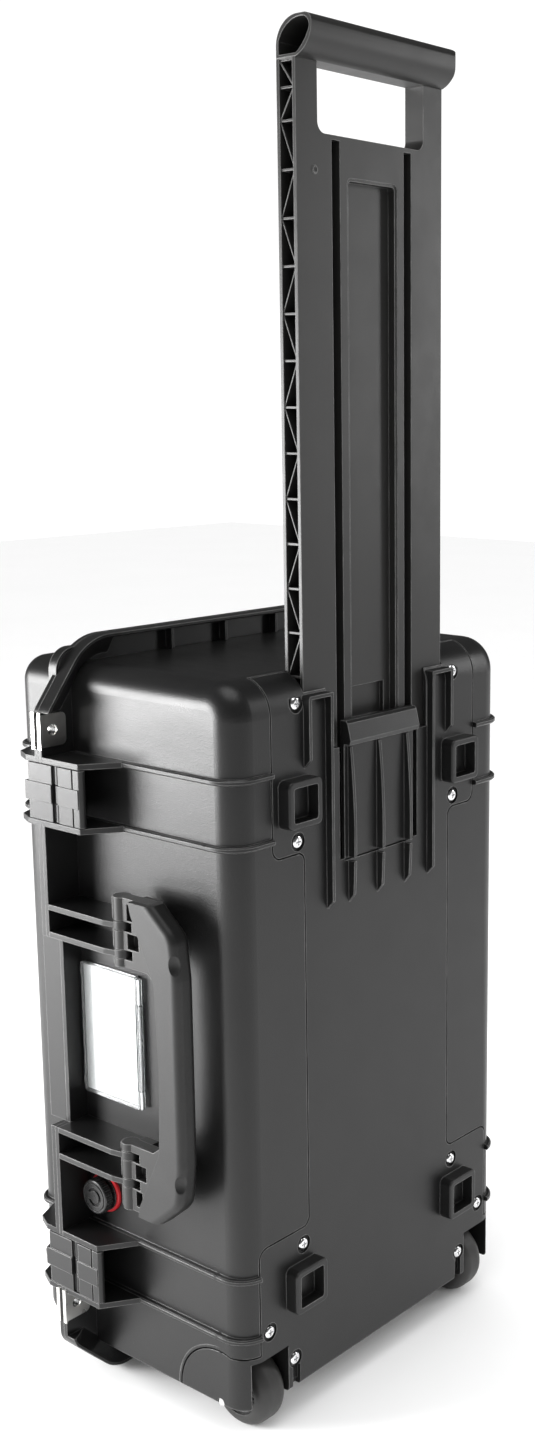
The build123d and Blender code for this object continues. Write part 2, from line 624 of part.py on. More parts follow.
def grip_section(inset):
    """Rounded teardrop section of the grip, in X and Z."""
    back = TROLLEY_BACK_X + inset
    front = COVER_X + FOOT_HEIGHT - 0.1 - inset
    low = GRIP_BOTTOM_Z + inset
    high = GRIP_BOTTOM_Z + 25.0 - inset
    neck = TROLLEY_FRONT_X + 0.8
    edges = [Line((back, low), (back, low + 8.0)),
             ThreePointArc((back, low + 8.0), (back + 6.0, high - 4.6), (back + 17.0, high)),
             Line((back + 17.0, high), (front - 6.0, high)),
             ThreePointArc((front - 6.0, high), (front - 1.4, high - 2.2), (front, high - 7.0)),
             ThreePointArc((front, high - 7.0), (front - 4.2, low + 6.6), (neck, low)),
             Line((neck, low), (back, low))]
    return make_face(Wire(edges))


def make_trolley_grip():
    """Hollow cross bar, open at its -Y end and closed with rounded edges at its +Y end."""
    plane = Plane(origin=(0, TROLLEY_HALF, 0), x_dir=(1, 0, 0), z_dir=(0, -1, 0))
    tube = slab(plane, grip_section(0.0), 2 * TROLLEY_HALF)
    front = COVER_X + FOOT_HEIGHT - 0.1
    top = GRIP_BOTTOM_Z + 25.0
    envelope = block((TROLLEY_BACK_X, front), (-TROLLEY_HALF, TROLLEY_HALF), (GRIP_BOTTOM_Z, top))
    closed = [e for e in envelope.edges() if e.center().Y > TROLLEY_HALF - 1
              and (e.center().X > front - 1 or e.center().Z > top - 1)]
    tube = tube & fillet(closed, GRIP_END_R)
    return tube - slab(plane.offset(GRIP_END_R + 2.0), grip_section(2.0), 2 * TROLLEY_HALF)


# ---- lid ----------------------------------------------------------------------------------
def lid_guard(z):
    """Pointed guard plate on the lid's latch side."""
    points = [(PARTING_X, -SIDE_Y + 1), (PARTING_X, -FLANGE_Y), (PARTING_X - 14, -FLANGE_Y),
              (PARTING_X - 27, -FLANGE_Y + 6), (PARTING_X - 38, -SIDE_Y + 1)]
    return slab_z(points, (z - RIB_T / 2, z + RIB_T / 2))


def lid_crest(z):
    """Low rib over the lid, in line with the rib round the base."""
    wide = SIDE_Y + RIB_PROUD
    crest = block((-CASE_DEPTH / 2, PARTING_X), (-wide, wide), (z - RIB_T / 2, z + RIB_T / 2))
    corners = [e for e in crest.edges().filter_by(Axis.Z) if e.center().X < LID_X]
    crest = fillet(corners, 12.0 + RIB_PROUD)
    return chamfer([e for e in crest.edges() if e.geom_type != GeomType.LINE], 1.0)


def stack_pads():
    """Raised pads with the sockets that the feet of a second case drop into."""
    pads = []
    for side in (-1, 1):
        for z in FOOT_Z:
            pad = block((-CASE_DEPTH / 2, LID_X + 1), around(side * FOOT_Y, 46.0), around(z, 46.0))
            pad = fillet(pad.edges().filter_by(Axis.X), 8.0)
            socket = block((-CASE_DEPTH / 2 - 1, LID_X), around(side * FOOT_Y, FOOT_SIZE + 2),
                           around(z, FOOT_SIZE + 2))
            pads.append(pad - fillet(socket.edges().filter_by(Axis.X), 5.0))
    return pads


def seal_path(x, radius_out, radius_in, low, high):
    """Rounded rectangular ring in the parting plane."""
    outer = slab_x([(-151 - low, 19 - low), (151 + low, 19 - low), (151 + low, 546.5 + low),
                    (-151 - low, 546.5 + low)], x, radius_out)
    inner = slab_x([(-151 + high, 19 + high), (151 - high, 19 + high), (151 - high, 546.5 - high),
                    (-151 + high, 546.5 - high)], (x[0] - 1, x[1] + 1), radius_in)
    return outer - inner


def lid_outside():
    """The lid tray's outside with its crest ribs and stacking pads."""
    tray = lid_form(0.0)
    tray += [lid_crest(z) for z in RIB_Z]
    tray += stack_pads()
    return tray


def lid_seal_groove():
    return seal_path((PARTING_X - 5.2, PARTING_X + 1), 12.5, 8.5, 2.6, 2.6)


def make_lid_shell():
    panel = slab_x([(-50, 180), (50, 180), (50, 380), (-50, 380)], (LID_X - 10, LID_X + 1.0), 12.0)
    shell = (lid_outside() - panel) - lid_form(WALL)
    return shell - lid_seal_groove()


def make_lid_flange():
    """Everything moulded outside the lid tray: flange, seal land, skirt, horns and knuckles."""
    rim = flange_form((PARTING_X - LID_FLANGE_T, PARTING_X))
    rim += seal_path((PARTING_X - 8, PARTING_X), 16.0, 10.0, 5.0, 8.0)
    rim += block((PARTING_X - LID_SKIRT, PARTING_X), (-HANDLE_BAY_Y, -SIDE_Y + 1), handle_bay_z())
    rim += [lid_guard(z) for z in RIB_Z]
    for z in LATCH_Z:
        bay = around(z, RIB_Z[0] - RIB_Z[1] - RIB_T)
        rim -= block((PARTING_X - 60, PARTING_X + 1), (-DEEP, -LATCH_BAY_Y), bay)
    rim -= lid_outside()
    rim -= lid_seal_groove()
    rim += hinge_knuckles(1, FIT)
    rim -= padlock_holes((PARTING_X - 8, PARTING_X + 1))
    return rim - [latch_pin_rod(z, 2.0) for z in LATCH_Z]


def make_lid_seal():
    return seal_path((PARTING_X - 5.1, PARTING_X - 0.2), 12.4, 8.6, 2.4, 2.4)


# ---- steel padlock plates -----------------------------------------------------------------
def padlock_plate(x_face, x_edge, inner_y, z):
    """Folded steel plate over the flange edge, with a padlock hole."""
    lo, hi = x_face
    sheet = block((lo, hi), (-CASE_WIDTH / 2, inner_y), around(z, 23.0))
    sheet = fillet([e for e in sheet.edges().filter_by(Axis.X) if e.center().Y > -160], 4.0)
    edge = block(x_edge, (-CASE_WIDTH / 2, -FLANGE_Y), around(z, 26.0))
    return (sheet + edge) - rod_x((lo - 2, hi + 2), PADLOCK_Y, z, PADLOCK_R)


def make_base_padlock_plates():
    face = (PARTING_X + BASE_FLANGE_T, PARTING_X + BASE_FLANGE_T + PLATE_T)
    return [padlock_plate(face, (PARTING_X + 1.6, face[1]), -153.0, z) for z in PADLOCK_Z]


def make_lid_padlock_plates():
    face = (PARTING_X - LID_FLANGE_T - PLATE_T, PARTING_X - LID_FLANGE_T)
    return [padlock_plate(face, (face[0], PARTING_X - 2.0), -157.0, z) for z in PADLOCK_Z]


# ---- latches ------------------------------------------------------------------------------
def latch_pin_rod(z, radius):
    """Latch pivot pin, through both lid guards."""
    return rod_z(LATCH_PIN_X, LATCH_PIN_Y, around(z, 45.0 + RIB_T - 0.6), radius)


def thirds(z):
    """Outer and middle height bands of a latch."""
    band = LATCH_WIDTH / 3
    low = z - LATCH_WIDTH / 2
    return (low, low + band), (low + band, low + 2 * band), (low + 2 * band, low + 3 * band)


def make_latch_plate(z):
    """Lid-side half of a latch: knuckled on the lid's pin, with forked eyes for the lever."""
    low, middle, high = thirds(z)
    full = (low[0], high[1])
    inner_y = LATCH_FACE_Y + 3.6
    plate = slab_z([(LATCH_PIN_X - 3.5, LATCH_FACE_Y), (LEVER_PIN_X - 3.4, LATCH_FACE_Y),
                    (LEVER_PIN_X - 3.4, inner_y), (LATCH_PIN_X - 3.5, inner_y)], full)
    plate += slab_z([(LATCH_PIN_X - 6.5, LATCH_FACE_Y - 0.9), (LEVER_PIN_X - 3.4, LATCH_FACE_Y - 0.9),
                     (LEVER_PIN_X - 3.4, inner_y), (LATCH_PIN_X - 6.5, inner_y)], middle)
    plate += rod_z(LATCH_PIN_X, LATCH_PIN_Y, full, 4.6)
    for band in (low, high):
        eye = (band[0], band[1] - GAP) if band is low else (band[0] + GAP, band[1])
        plate += rod_z(LEVER_PIN_X, LEVER_PIN_Y, eye, 3.3)
        plate += block((LEVER_PIN_X - 6, LEVER_PIN_X), (inner_y - 1.5, LEVER_PIN_Y + 2.8), eye)
    plate -= rod_z(LATCH_PIN_X, LATCH_PIN_Y, (full[0] - 1, full[1] + 1), 2.0 + FIT)
    return plate - rod_z(LEVER_PIN_X, LEVER_PIN_Y, (full[0] - 1, full[1] + 1), 1.5)


def make_latch_lever(z):
    """Free half of a latch: pull lever with a rolled end and a catch nib."""
    low, middle, high = thirds(z)
    full = (low[0], high[1])
    inner_y = LATCH_FACE_Y + 3.6
    start = LEVER_PIN_X + 3.4
    end = PARTING_X + 41.0
    lever = slab_z([(start, LATCH_FACE_Y), (end, LATCH_FACE_Y), (end, inner_y), (start, inner_y)], full)
    lever += slab_z([(start, LATCH_FACE_Y - 0.9), (end, LATCH_FACE_Y - 0.9), (end, inner_y),
                     (start, inner_y)], middle)
    lever += rod_z(end - 1.0, LATCH_FACE_Y + 3.0, full, 3.0)
    for band in (low, high):
        lever -= block((end - 7.0, end - 5.6), (LATCH_FACE_Y - 1, LATCH_FACE_Y + 1.2), band)
    eye = (middle[0] + GAP, middle[1] - GAP)
    lever += rod_z(LEVER_PIN_X, LEVER_PIN_Y, eye, 3.3)
    lever += block((LEVER_PIN_X, start + 2), (inner_y - 1.5, LEVER_PIN_Y + 2.8), eye)
    lever += block((start + 0.5, start + 3.5), (inner_y - 0.5, -165.0), (middle[0] + 1, middle[1] - 1))
    return lever - rod_z(LEVER_PIN_X, LEVER_PIN_Y, (full[0] - 1, full[1] + 1), 1.5 + FIT)


def make_latch_link_pin(z):
    return rod_z(LEVER_PIN_X, LEVER_PIN_Y, around(z, LATCH_WIDTH), 1.5)


# ---- carry handle -------------------------------------------------------------------------
def handle_pin_rod(side, radius):
    """One of the two pivot pins of the carry handle."""
    low = HANDLE_LUG_Z[1] - HANDLE_LUG_T / 2 - 5.5
    high = HANDLE_LUG_Z[0] + HANDLE_LUG_T / 2 + 9.0
    z = (HANDLE_MID_Z + low, HANDLE_MID_Z + high) if side > 0 else \
        (HANDLE_MID_Z - high, HANDLE_MID_Z - low)
    return rod_z(HANDLE_PIN_X, HANDLE_PIN_Y, z, radius)


def handle_arm(side):
    """Fork plate at one end of the carry handle, from its pin to the slanted arm."""
    mid = HANDLE_MID_Z
    x = HANDLE_PIN_X
    points = [(x - 6.0, mid + side * 64.5), (x - 6.0, mid + side * HANDLE_HALF),
              (x + 30.0, mid + side * HANDLE_HALF), (x + 46.0, mid + side * 88.0),
              (x + 46.0, mid + side * 56.0), (x + 38.0, mid + side * 56.0),
              (x + 27.0, mid + side * 64.5)]
    arm = slab_y(points, (HANDLE_PIN_Y - 4.0, HANDLE_PIN_Y + 5.0), 2.0)
    for reach, low, high in ((19.5, 78.0, 89.0), (15.0, 98.0, 109.5)):
        pocket = sorted((mid + side * low, mid + side * high))
        arm -= block((x + 8.5, x + reach), (HANDLE_PIN_Y - 5.0, HANDLE_PIN_Y + 2.0), pocket)
    return arm


def make_carry_handle_frame():
    """Moulded core of the carry handle: two forks and the bar that joins them inside the sleeve."""
    frame = handle_arm(-1) + handle_arm(1)
    frame += block((HANDLE_PIN_X + 40.0, HANDLE_PIN_X + 46.0), (HANDLE_PIN_Y - 4.0, HANDLE_PIN_Y + 4.0),
                   (HANDLE_MID_Z - 60, HANDLE_MID_Z + 60))
    for side in (-1, 1):
        z = sorted((HANDLE_MID_Z + side * 64.5, HANDLE_MID_Z + side * HANDLE_HALF))
        frame += rod_z(HANDLE_PIN_X, HANDLE_PIN_Y, z, 6.4)
        for centre in HANDLE_LUG_Z:
            lug = around(HANDLE_MID_Z + side * centre, HANDLE_LUG_T + 2 * GAP)
            frame -= rod_z(HANDLE_PIN_X, HANDLE_PIN_Y, lug, 13.0)
            frame -= block((HANDLE_PIN_X - 15, HANDLE_PIN_X + 13), (HANDLE_PIN_Y - 13, HANDLE_PIN_Y), lug)
            frame -= block((HANDLE_PIN_X - 15, HANDLE_PIN_X + 8), (HANDLE_PIN_Y - 13, -SIDE_Y), lug)
        frame -= handle_pin_rod(side, 2.5 + FIT)
    return frame


def sleeve_outline():
    """Outline of the sleeve in X and Z: an upright bar whose ends sweep back over the forks."""
    x = HANDLE_PIN_X
    mid = HANDLE_MID_Z
    half = [(x + 41.0, 0), (x + 38.5, 60.0), (x + 17.5, 105.0), (x + 15.5, HANDLE_HALF),
            (x + 36.0, HANDLE_HALF), (x + 57.0, 96.0), (x + 60.5, 66.0)]
    upper = [(px, mid + pz) for px, pz in half]
    lower = [(px, mid - pz) for px, pz in reversed(half[1:])]
    return Polygon(*(upper + lower), align=None)


def make_carry_handle_grip():
    """Soft sleeve moulded round the bar and arms of the carry handle."""
    y = (HANDLE_PIN_Y - 9.0, HANDLE_PIN_Y + 8.0)
    face = sleeve_outline()
    bends = [v for v in face.vertices() if v.X > HANDLE_PIN_X + 50]
    face = fillet(bends, 16.0)
    bends = [v for v in face.vertices() if abs(v.X - HANDLE_PIN_X - 38.5) < 0.1]
    face = fillet(bends, 12.0)
    plane = Plane(origin=(0, y[1], 0), x_dir=(1, 0, 0), z_dir=(0, -1, 0))
    bar = slab(plane, face, y[1] - y[0])
    outer = [e for e in bar.faces().filter_by(Axis.Y)[0].edges() + bar.faces().filter_by(Axis.Y)[-1].edges()
             if e.center().X > HANDLE_PIN_X + 40]
    bar = fillet(outer, 5.5)
    dents = [Pos(HANDLE_PIN_X + 63.5, y[0] - 4.5, HANDLE_MID_Z + side * 78.0) * Rot(0, side * 20, 0)
             * Sphere(11.0) for side in (-1, 1)]
    return (bar - dents) - make_carry_handle_frame()


# ---- name plate ---------------------------------------------------------------------------
def plate_knuckles(owner):
    """Heights of the name plate's hinge knuckles for holder (0) or cover (1)."""
    low, high = PLATE_Z
    if owner == 0:
        return [(low + 14.4, high - 20.4)]
    return [(low + 1, low + 14), (high - 20, high - 1)]


def make_nameplate_holder():
    holder = block(PLATE_X, (-SIDE_Y - 2.0, -SIDE_Y), PLATE_Z)
    holder = fillet(holder.edges().filter_by(Axis.Y), 2.5)
    for z in plate_knuckles(0):
        holder += rod_z(PLATE_HINGE_X, PLATE_HINGE_Y, z, 1.9)
        holder += block((PLATE_X[1] - 1, PLATE_HINGE_X), (-SIDE_Y - 2.0, -SIDE_Y), z)
        holder += block((PLATE_HINGE_X - 1.0, PLATE_HINGE_X + 1.0), (PLATE_HINGE_Y, -SIDE_Y), z)
    return holder - plate_pin_rod(0.0)


def make_nameplate_card():
    low, high = PLATE_Z
    return block((PLATE_X[0] + 1.5, PLATE_X[1] - 2.5), (-SIDE_Y - 2.5, -SIDE_Y - 2.0), (low + 2, high - 2))


def make_nameplate_cover():
    top = -SIDE_Y - 4.8
    cover = block((PLATE_X[0], PLATE_X[1] - 0.2), (top, -SIDE_Y - 2.7), PLATE_Z)
    cover = fillet(cover.edges().filter_by(Axis.Y), 2.5)
    tray = block((PLATE_X[0] + 1.2, PLATE_X[1] - 2.2), (-SIDE_Y - 3.4, -SIDE_Y), (PLATE_Z[0] + 1.2, PLATE_Z[1] - 1.2))
    cover -= tray
    clips = [block((PLATE_X[0] - 0.9, PLATE_X[0] + 1), (top, -SIDE_Y - 2.7), around(z, 5.0))
             for z in (PLATE_Z[0] + 8, PLATE_Z[1] - 8)]
    cover += clips
    for z in plate_knuckles(0):
        cover -= block((PLATE_X[1] - 1.3, PLATE_X[1] + 5), (-160, -SIDE_Y), (z[0] - GAP, z[1] + GAP))
    for z in plate_knuckles(1):
        cover += rod_z(PLATE_HINGE_X, PLATE_HINGE_Y, z, 1.9)
        cover += block((PLATE_X[1] - 2.5, PLATE_HINGE_X), (top, -SIDE_Y - 3.2), z)
    return cover - plate_pin_rod(FIT)


def plate_pin_rod(extra):
    low, high = PLATE_Z
    return rod_z(PLATE_HINGE_X, PLATE_HINGE_Y, (low + 1, high - 1), 0.9 + extra)


# ---- pressure valve -----------------------------------------------------------------------
def valve_rod(y_out, y_in, radius):
    """Round stock on the valve's axis; y values are measured outward from the wall face."""
    return rod_y(VALVE_X, (-SIDE_Y - y_out, -SIDE_Y - y_in), VALVE_Z, radius)


def make_valve_body():
    body = valve_rod(3.6, 2.4, 13.0) + valve_rod(6.0, 3.0, 9.0) + valve_rod(2.6, -14.0, 7.9)
    return body - valve_rod(7.0, -15.0, 3.5)


def make_valve_seal_ring():
    ring = valve_rod(2.4, 0.0, 15.0)
    ring = fillet(ring.faces().sort_by(Axis.Y)[0].edges(), 1.0)
    return ring - valve_rod(3.0, -1.0, 8.0)


def make_valve_nut():
    plane = Plane(origin=(VALVE_X, -SIDE_Y + WALL + 0.1, VALVE_Z), z_dir=(0, 1, 0))
    nut = slab(plane, RegularPolygon(12.0, 6), 5.0)
    return nut - valve_rod(5.0, -20.0, 7.9)


def make_valve_membrane():
    return valve_rod(-9.0, -9.8, 3.5)


def make_valve_knob():
    knob = valve_rod(12.5, 6.4, 13.0)
    knob = fillet(knob.faces().sort_by(Axis.Y)[0].edges(), 1.4)
    flutes = [rod_y(VALVE_X + 13.9 * math.cos(math.radians(a)), (-SIDE_Y - 13, -SIDE_Y - 6),
                    VALVE_Z + 13.9 * math.sin(math.radians(a)), 1.3) for a in range(0, 360, 15)]
    knob -= flutes
    ring = valve_rod(13.0, 11.5, 11.0) - valve_rod(13.5, 11.0, 9.8)
    knob -= ring
    slot = valve_rod(13.0, 11.0, 7.2) - valve_rod(13.5, 10.5, 4.6)
    slot -= block((VALVE_X - 9, VALVE_X), (-170, -SIDE_Y), around(VALVE_Z, 5.0))
    return (knob - slot) - valve_rod(7.0, 6.0, 4.0)


# ---- wheels -------------------------------------------------------------------------------
def wheel_ring(side, outer, inner, width):
    y = around(side * WHEEL_Y, width)
    return rod_y(WHEEL_X, y, WHEEL_R, outer) - rod_y(WHEEL_X, (y[0] - 1, y[1] + 1), WHEEL_R, inner)


def make_wheel_tyre(side):
    tyre = rod_y(WHEEL_X, around(side * WHEEL_Y, WHEEL_WIDTH), WHEEL_R, WHEEL_R)
    tyre = fillet(tyre.edges(), 8.5)
    return tyre - rod_y(WHEEL_X, around(side * WHEEL_Y, 40), WHEEL_R, 17.0)


def make_wheel_hub(side):
    hub = wheel_ring(side, 17.0, 8.0, 22.0)
    hub -= wheel_ring(side, 15.0, 10.0, 30.0)
    hub += wheel_ring(side, 15.5, 9.5, 4.0)
    spokes = []
    for index in range(6):
        angle = index * 60
        spoke = Pos(WHEEL_X, side * WHEEL_Y, WHEEL_R) * Rot(0, angle, 0) * Pos(12.5, 0, 0) * Box(6.4, 18.0, 2.4)
        spokes.append(spoke)
    return hub + spokes


def make_wheel_bearings(side):
    """A steel bearing in each face of the hub."""
    rings = []
    for offset_y in (-8.0, 8.0):
        y = around(side * WHEEL_Y + offset_y, 6.0)
        ring = rod_y(WHEEL_X, y, WHEEL_R, 8.0) - rod_y(WHEEL_X, (y[0] - 1, y[1] + 1), WHEEL_R, AXLE_R + FIT)
        rings.append(ring)
    return rings


def make_wheel_axle(side):
    return rod_y(WHEEL_X, span(side, HOUSING_Y, SIDE_Y - 0.6), WHEEL_R, AXLE_R)


# ---- write every piece --------------------------------------------------------------------
def main():
    os.makedirs("parts", exist_ok=True)
    walls, front = split_base_tub(make_base_tub())
    save("base_shell", walls)
    save("base_front", front)
    save("base_flange", make_base_flange())
    save("base_guards", *make_base_guards())
    save("bottom_cover", make_bottom_cover())
    save("cover_screws", *make_cover_screws())
    save("release_tongue", make_release_tongue())
    save("trolley_handle", make_trolley_handle())
    save("trolley_grip", make_trolley_grip())
    save("lid_shell", make_lid_shell())
    save("lid_flange", make_lid_flange())
    save("lid_seal", make_lid_seal())
    save("padlock_plates_base", *make_base_padlock_plates())
    save("padlock_plates_lid", *make_lid_padlock_plates())
    save("latch_pivot_pins", *[latch_pin_rod(z, 2.0) for z in LATCH_Z])
    for name, z in zip(("upper", "lower"), LATCH_Z):
        save(name + "_latch_plate", make_latch_plate(z))
        save(name + "_latch_lever", make_latch_lever(z))
        save(name + "_latch_link_pin", make_latch_link_pin(z))
    save("carry_handle_frame", make_carry_handle_frame())
    save("carry_handle_grip", make_carry_handle_grip())
    save("carry_handle_pins", *[handle_pin_rod(side, 2.5) for side in (-1, 1)])
    save("lid_hinge_pins", *[rod_z(PARTING_X, HINGE_Y, around(z, 70.0 - GAP), HINGE_PIN_R)
                             for z in HINGE_CENTRES_Z])
    save("nameplate_holder", make_nameplate_holder())
    save("nameplate_card", make_nameplate_card())
    save("nameplate_cover", make_nameplate_cover())
    save("nameplate_hinge_pin", plate_pin_rod(0.0))
    save("valve_body", make_valve_body())
    save("valve_seal_ring", make_valve_seal_ring())
    save("valve_nut", make_valve_nut())
    save("valve_membrane", make_valve_membrane())
    save("valve_knob", make_valve_knob())
    for name, side in (("left", -1), ("right", 1)):
        save("wheel_tyre_" + name, make_wheel_tyre(side))
        save("wheel_hub_" + name, make_wheel_hub(side))
        save("wheel_bearings_" + name, *make_wheel_bearings(side))
        save("wheel_axle_" + name, make_wheel_axle(side))


main()
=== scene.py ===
import json
import math

import bmesh
import bpy
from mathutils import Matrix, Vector


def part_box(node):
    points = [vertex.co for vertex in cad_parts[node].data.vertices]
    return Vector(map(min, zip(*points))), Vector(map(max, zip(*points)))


# A wheeled hard equipment case of black moulded plastic, standing with its trolley handle out.
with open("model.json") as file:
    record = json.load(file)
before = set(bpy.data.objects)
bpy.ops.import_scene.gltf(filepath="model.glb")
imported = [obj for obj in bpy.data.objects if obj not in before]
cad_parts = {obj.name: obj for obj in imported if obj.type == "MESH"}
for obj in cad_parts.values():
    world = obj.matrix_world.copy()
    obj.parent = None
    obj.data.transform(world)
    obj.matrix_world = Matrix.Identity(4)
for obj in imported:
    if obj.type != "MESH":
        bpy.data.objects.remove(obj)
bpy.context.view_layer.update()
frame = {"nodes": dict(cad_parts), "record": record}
nodes = frame["nodes"]

# ---- camera -------------------------------------------------------------------------------
EYE = (0.845, -0.8889, 0.7239)
TILT = math.radians(78.85)  # 90 degrees looks level
TURN = math.radians(38.51)
LENS = 41.65                # focal length in millimetres
SHIFT = (-0.1034, 0.0017)

# ---- light --------------------------------------------------------------------------------
ROOM = 0.10                 # radiance of the room that the case reflects
BACKDROP = 1.10             # radiance of the white behind the case and over the floor
CASE_CENTRE = (0.0, 0.0, 0.35)
# name, place, the point it faces, (width, height) in metres, power in watts
LAMPS = (
    ("left_box", (-0.98, -1.12, 0.50), (0.0, -0.15, 0.42), (0.80, 0.70), 46.0),
    ("top_box", (0.3, -0.2, 2.3), CASE_CENTRE, (1.4, 1.4), 16.0),
    ("right_box", (0.95, 1.4, 0.9), CASE_CENTRE, (0.3, 0.9), 6.0),
)
FLOOR_CELLS = 24
FLOOR_HALF_SIDE = 6.0


# ---- material building blocks -------------------------------------------------------------
PLASTIC_EDGE = 0.0009       # radius that edges of plastic look rounded to
RUBBER_EDGE = 0.0008
STEEL_EDGE = 0.0003
SEAM_REACH = 0.004          # edges that have something this near in front get no painted highlight
# pale grey painted along edges as a highlight, in place of the light their rounding reflects
EDGE_HIGHLIGHT_GREY = (0.30, 0.298, 0.295)

# The tub is one moulding but several CAD nodes, and no edge is drawn where two of them meet:
# in the plane where its four walls end, and on a circle round each wheel housing. The join
# itself is a circle of that radius on the wheel's axis. This one stands a little off it, so
# it hides only part of that join.
TUB_JOIN_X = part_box("base_shell")[1][0]
tyre_low, tyre_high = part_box("wheel_tyre_left")
ARCH_OFF_AXIS_X, ARCH_OFF_AXIS_Z = 0.002, -0.001
ARCH_X = (tyre_low[0] + tyre_high[0]) / 2 + ARCH_OFF_AXIS_X
ARCH_Z = (tyre_low[2] + tyre_high[2]) / 2 + ARCH_OFF_AXIS_Z
ARCH_R = 0.042
JOIN_REACH = 0.0011         # half the width with no edge at all
JOIN_FADE = 0.0016          # and where edges are as strong as elsewhere

# Sockets of a Mix node that share a name and differ in kind, by their place in its list.
MIX_VECTORS, MIX_VECTOR_OUT = slice(4, 6), 1
MIX_COLOURS, MIX_COLOUR_OUT = slice(6, 8), 2


class Shader:
    """One material's node tree, with short ways to add and join nodes."""

    def __init__(self, name):
        self.material = bpy.data.materials.new(name)
        self.material.use_nodes = True
        self.tree = self.material.node_tree
        self.surface = self.tree.nodes["Principled BSDF"]
        self.place = self.node("ShaderNodeTexCoord").outputs["Object"]

    def node(self, kind, **settings):
        made = self.tree.nodes.new(kind)
        for key, value in settings.items():
            setattr(made, key, value)
        return made

    def join(self, source, target):
        self.tree.links.new(source, target)

    def colour(self, source):
        self.join(source, self.surface.inputs["Base Color"])

    def roughness(self, source):
        self.join(source, self.surface.inputs["Roughness"])

    def normal(self, source):
        self.join(source, self.surface.inputs["Normal"])

    def fixed(self, **values):
        """Plain numbers set on the shader's own sockets."""
        for key, value in values.items():
            self.surface.inputs[key.replace("_", " ")].default_value = value

    def noise(self, scale, detail=3.0, roughness=0.5, stretch=(1, 1, 1)):
        mapping = self.node("ShaderNodeMapping")
        mapping.inputs["Scale"].default_value = stretch
        self.join(self.place, mapping.inputs["Vector"])
        made = self.node("ShaderNodeTexNoise")
        made.inputs["Scale"].default_value = scale
        made.inputs["Detail"].default_value = detail
        made.inputs["Roughness"].default_value = roughness
        self.join(mapping.outputs["Vector"], made.inputs["Vector"])
        return made.outputs["Fac"]

    def cells(self, scale):
        made = self.node("ShaderNodeTexVoronoi")
        made.inputs["Scale"].default_value = scale
        self.join(self.place, made.inputs["Vector"])
        return made.outputs["Distance"]

    def spread(self, source, low, high, to_low, to_high):
        """The source's range low to high, stretched to another range and held at its ends."""
        made = self.node("ShaderNodeMapRange")
        for key, value in (("From Min", low), ("From Max", high),
                           ("To Min", to_low), ("To Max", to_high)):
            made.inputs[key].default_value = value
        self.join(source, made.inputs["Value"])
        return made.outputs["Result"]

    def math(self, operation, first, second):
        made = self.node("ShaderNodeMath", operation=operation)
        for socket, value in zip(made.inputs, (first, second)):
            if isinstance(value, (int, float)):
                socket.default_value = value
            else:
                self.join(value, socket)
        return made.outputs["Value"]

    def blend(self, factor, first, second):
        """Colour between two others."""
        made = self.node("ShaderNodeMix", data_type="RGBA")
        self.join(factor, made.inputs["Factor"])
        for socket, colour in zip(made.inputs[MIX_COLOURS], (first, second)):
            if isinstance(colour, tuple):
                socket.default_value = (*colour, 1.0)
            else:
                self.join(colour, socket)
        return made.outputs[MIX_COLOUR_OUT]

    def round_edges(self, radius):
        """Normal that is softened where two faces meet."""
        made = self.node("ShaderNodeBevel", samples=4)
        made.inputs["Radius"].default_value = radius
        return made.outputs["Normal"]

    def edge_mask(self, rounded):
        """1 along edges and 0 on open faces."""
        geometry = self.node("ShaderNodeNewGeometry")
        dot = self.node("ShaderNodeVectorMath", operation="DOT_PRODUCT")
        self.join(rounded, dot.inputs[0])
        self.join(geometry.outputs["Normal"], dot.inputs[1])
        return self.spread(dot.outputs["Value"], 0.995, 0.86, 0.0, 1.0)

    def gap(self, first, second):
        """How far apart two values are."""
        return self.math("ABSOLUTE", self.math("SUBTRACT", first, second), 0.0)

    def off_joins(self):
        """0 along the lines where nodes of the one-piece tub meet, and 1 elsewhere."""
        split = self.node("ShaderNodeSeparateXYZ")
        self.join(self.place, split.inputs["Vector"])
        x, z = split.outputs["X"], split.outputs["Z"]
        across, up = self.gap(x, ARCH_X), self.gap(z, ARCH_Z)
        squares = self.math("ADD", self.math("POWER", across, 2.0), self.math("POWER", up, 2.0))
        arch = self.gap(self.math("SQRT", squares, 0.0), ARCH_R)
        nearest = self.math("MINIMUM", self.gap(x, TUB_JOIN_X), arch)
        return self.spread(nearest, JOIN_REACH, JOIN_FADE, 0.0, 1.0)

    def straight_at_joins(self, rounded, away):
        """The rounded normal, but the face's own normal along the joins."""
        geometry = self.node("ShaderNodeNewGeometry")
        made = self.node("ShaderNodeMix", data_type="VECTOR")
        self.join(away, made.inputs["Factor"])
        for socket, source in zip(made.inputs[MIX_VECTORS], (geometry.outputs["Normal"], rounded)):
            self.join(source, socket)
        return made.outputs[MIX_VECTOR_OUT]

    def openness(self, reach):
        """1 on open faces and 0 deep in seams and corners."""
        made = self.node("ShaderNodeAmbientOcclusion", samples=8)
        made.inputs["Distance"].default_value = reach
        return self.spread(made.outputs["AO"], 0.35, 0.8, 0.0, 1.0)

    def relief(self, height, depth, base_normal=None):
        """Bump of that depth in metres."""
        made = self.node("ShaderNodeBump")
        made.inputs["Strength"].default_value = 1.0
        made.inputs["Distance"].default_value = depth
        self.join(height, made.inputs["Height"])
        if base_normal is not None:
            self.join(base_normal, made.inputs["Normal"])
        return made.outputs["Normal"]


